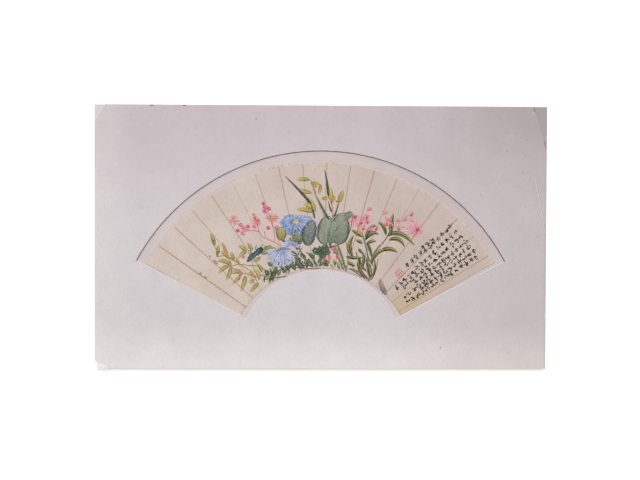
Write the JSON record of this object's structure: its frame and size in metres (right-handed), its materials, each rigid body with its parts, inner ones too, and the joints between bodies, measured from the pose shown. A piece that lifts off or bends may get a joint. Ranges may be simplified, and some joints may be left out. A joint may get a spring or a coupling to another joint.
{
  "type": "mounted hand fan leaf",
  "caption": "Painted folding-fan leaf, off its sticks and flattened, in a card mount whose fan-shaped window mat lifts on a tape hinge.",
  "frame": {"origin": "middle of the mount's back, on the surface that it lies on", "axes": "+X along the mount's long side, to the picture's right; +Y towards the hinged top edge; +Z out of the picture's face"},
  "size_m": [0.655, 0.3862, 0.0057],
  "materials": {
    "backing_paper": "matte",
    "board_core": "matte",
    "mat_back_paper": "matte",
    "mat_face_paper": "matte",
    "mount_sheet": "matte",
    "tissue": "matte",
    "leaf_lining": "matte",
    "leaf_paper": "matte",
    "linen_tape": "matte"
  },
  "bodies": {
    "backing": {"backing_back_paper": "backing_paper", "backing_core": "board_core", "backing_front_paper": "backing_paper", "mount_sheet": "mount_sheet", "tissue_tabs": "tissue", "tissue_crosspieces": "tissue", "leaf_lining": "leaf_lining", "fan_leaf": "leaf_paper", "hinge_tape_lower": "linen_tape", "hinge_tape_fold": "linen_tape"},
    "window_mat": {"mat_back_paper": "mat_back_paper", "mat_core": "board_core", "mat_face_paper": "mat_face_paper", "hinge_tape_upper": "linen_tape"}
  },
  "joints": [
    {"name": "mat_hinge", "type": "hinge", "parent": "backing", "child": "window_mat", "pos_m": [0, 0.19264, 0.00285], "axis": [-1, 0, 0], "range_deg": [0, 180], "deforming": ["hinge_tape_fold"]}
  ]
}
